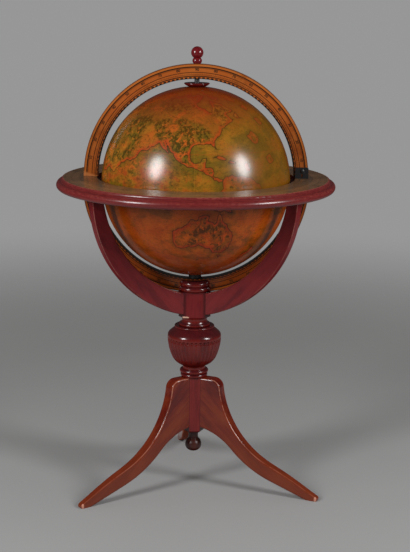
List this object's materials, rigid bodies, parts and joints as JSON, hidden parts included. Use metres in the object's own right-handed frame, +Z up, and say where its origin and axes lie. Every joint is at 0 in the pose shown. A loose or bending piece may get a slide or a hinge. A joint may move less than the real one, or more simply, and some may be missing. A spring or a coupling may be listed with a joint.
{
  "type": "globe bar",
  "caption": "Floor-standing globe bar on a turned tripod stand: the upper half of the map sphere swings up on a hinged half ring over a rack for bottles and glasses.",
  "frame": {"origin": "on the floor under the axis of the column and the sphere", "axes": "+Z up along the axis, +X to the hinge side, +Y to the back, away from the viewer"},
  "size_m": [0.5917, 0.5918, 0.9553],
  "materials": {
    "leg_wood": "gloss varnish",
    "turned_wood": "gloss varnish",
    "arm_wood": "gloss varnish",
    "dowel_beech": "bare",
    "bright_steel": "turned",
    "horizon_print": "varnished print",
    "meridian_print": "varnished print",
    "black_steel": "satin",
    "upper_map": "varnished map paper",
    "lower_map": "varnished map paper",
    "rack_wood": "satin varnish"
  },
  "bodies": {
    "base": {"leg_front_left": "leg_wood", "leg_front_right": "leg_wood", "leg_back": "leg_wood", "leg_dowels": "dowel_beech", "column_block": "leg_wood", "pendant": "turned_wood", "column_ring": "turned_wood", "urn": "turned_wood", "tie_rod": "bright_steel", "tie_rod_nut": "bright_steel", "tie_rod_washer": "bright_steel", "cradle_block": "arm_wood", "arm_left": "arm_wood", "arm_right": "arm_wood", "arm_back": "arm_wood", "arm_dowels": "dowel_beech", "cradle_knob": "turned_wood", "knob_dowels": "dowel_beech", "horizon_ring": "horizon_print", "lower_meridian": "meridian_print", "meridian_dowels": "dowel_beech", "lower_pole_pin": "bright_steel", "lower_pole_collar": "black_steel", "lower_pole_washer": "bright_steel", "lower_pole_nut": "bright_steel", "hinge_bracket": "black_steel", "hinge_screws": "black_steel", "hinge_pin": "black_steel"},
    "lid": {"upper_meridian": "meridian_print", "finial": "turned_wood", "upper_pole_spindle": "bright_steel", "upper_pole_washer": "bright_steel", "upper_pole_nut": "bright_steel"},
    "upper_globe": {"upper_hemisphere": "upper_map", "upper_rim": "rack_wood", "upper_pole_disc": "turned_wood", "upper_pole_pad": "rack_wood"},
    "lower_globe": {"lower_hemisphere": "lower_map", "lower_rim": "rack_wood", "lower_pole_pad": "rack_wood", "rack_shelf": "rack_wood", "rack_posts": "rack_wood", "rack_deck": "rack_wood", "rack_knob": "rack_wood"}
  },
  "joints": [
    {"name": "lid_hinge", "type": "hinge", "parent": "base", "child": "lid", "pos_m": [0.22446, 0, 0.6975], "axis": [0, 1, 0], "range_deg": [0, 90]},
    {"name": "upper_globe_spin", "type": "hinge", "parent": "lid", "child": "upper_globe", "pos_m": [0, 0, 0.88], "axis": [0, 0, 1], "continuous": true},
    {"name": "lower_globe_spin", "type": "hinge", "parent": "base", "child": "lower_globe", "pos_m": [0, 0, 0.48], "axis": [0, 0, 1], "continuous": true}
  ]
}
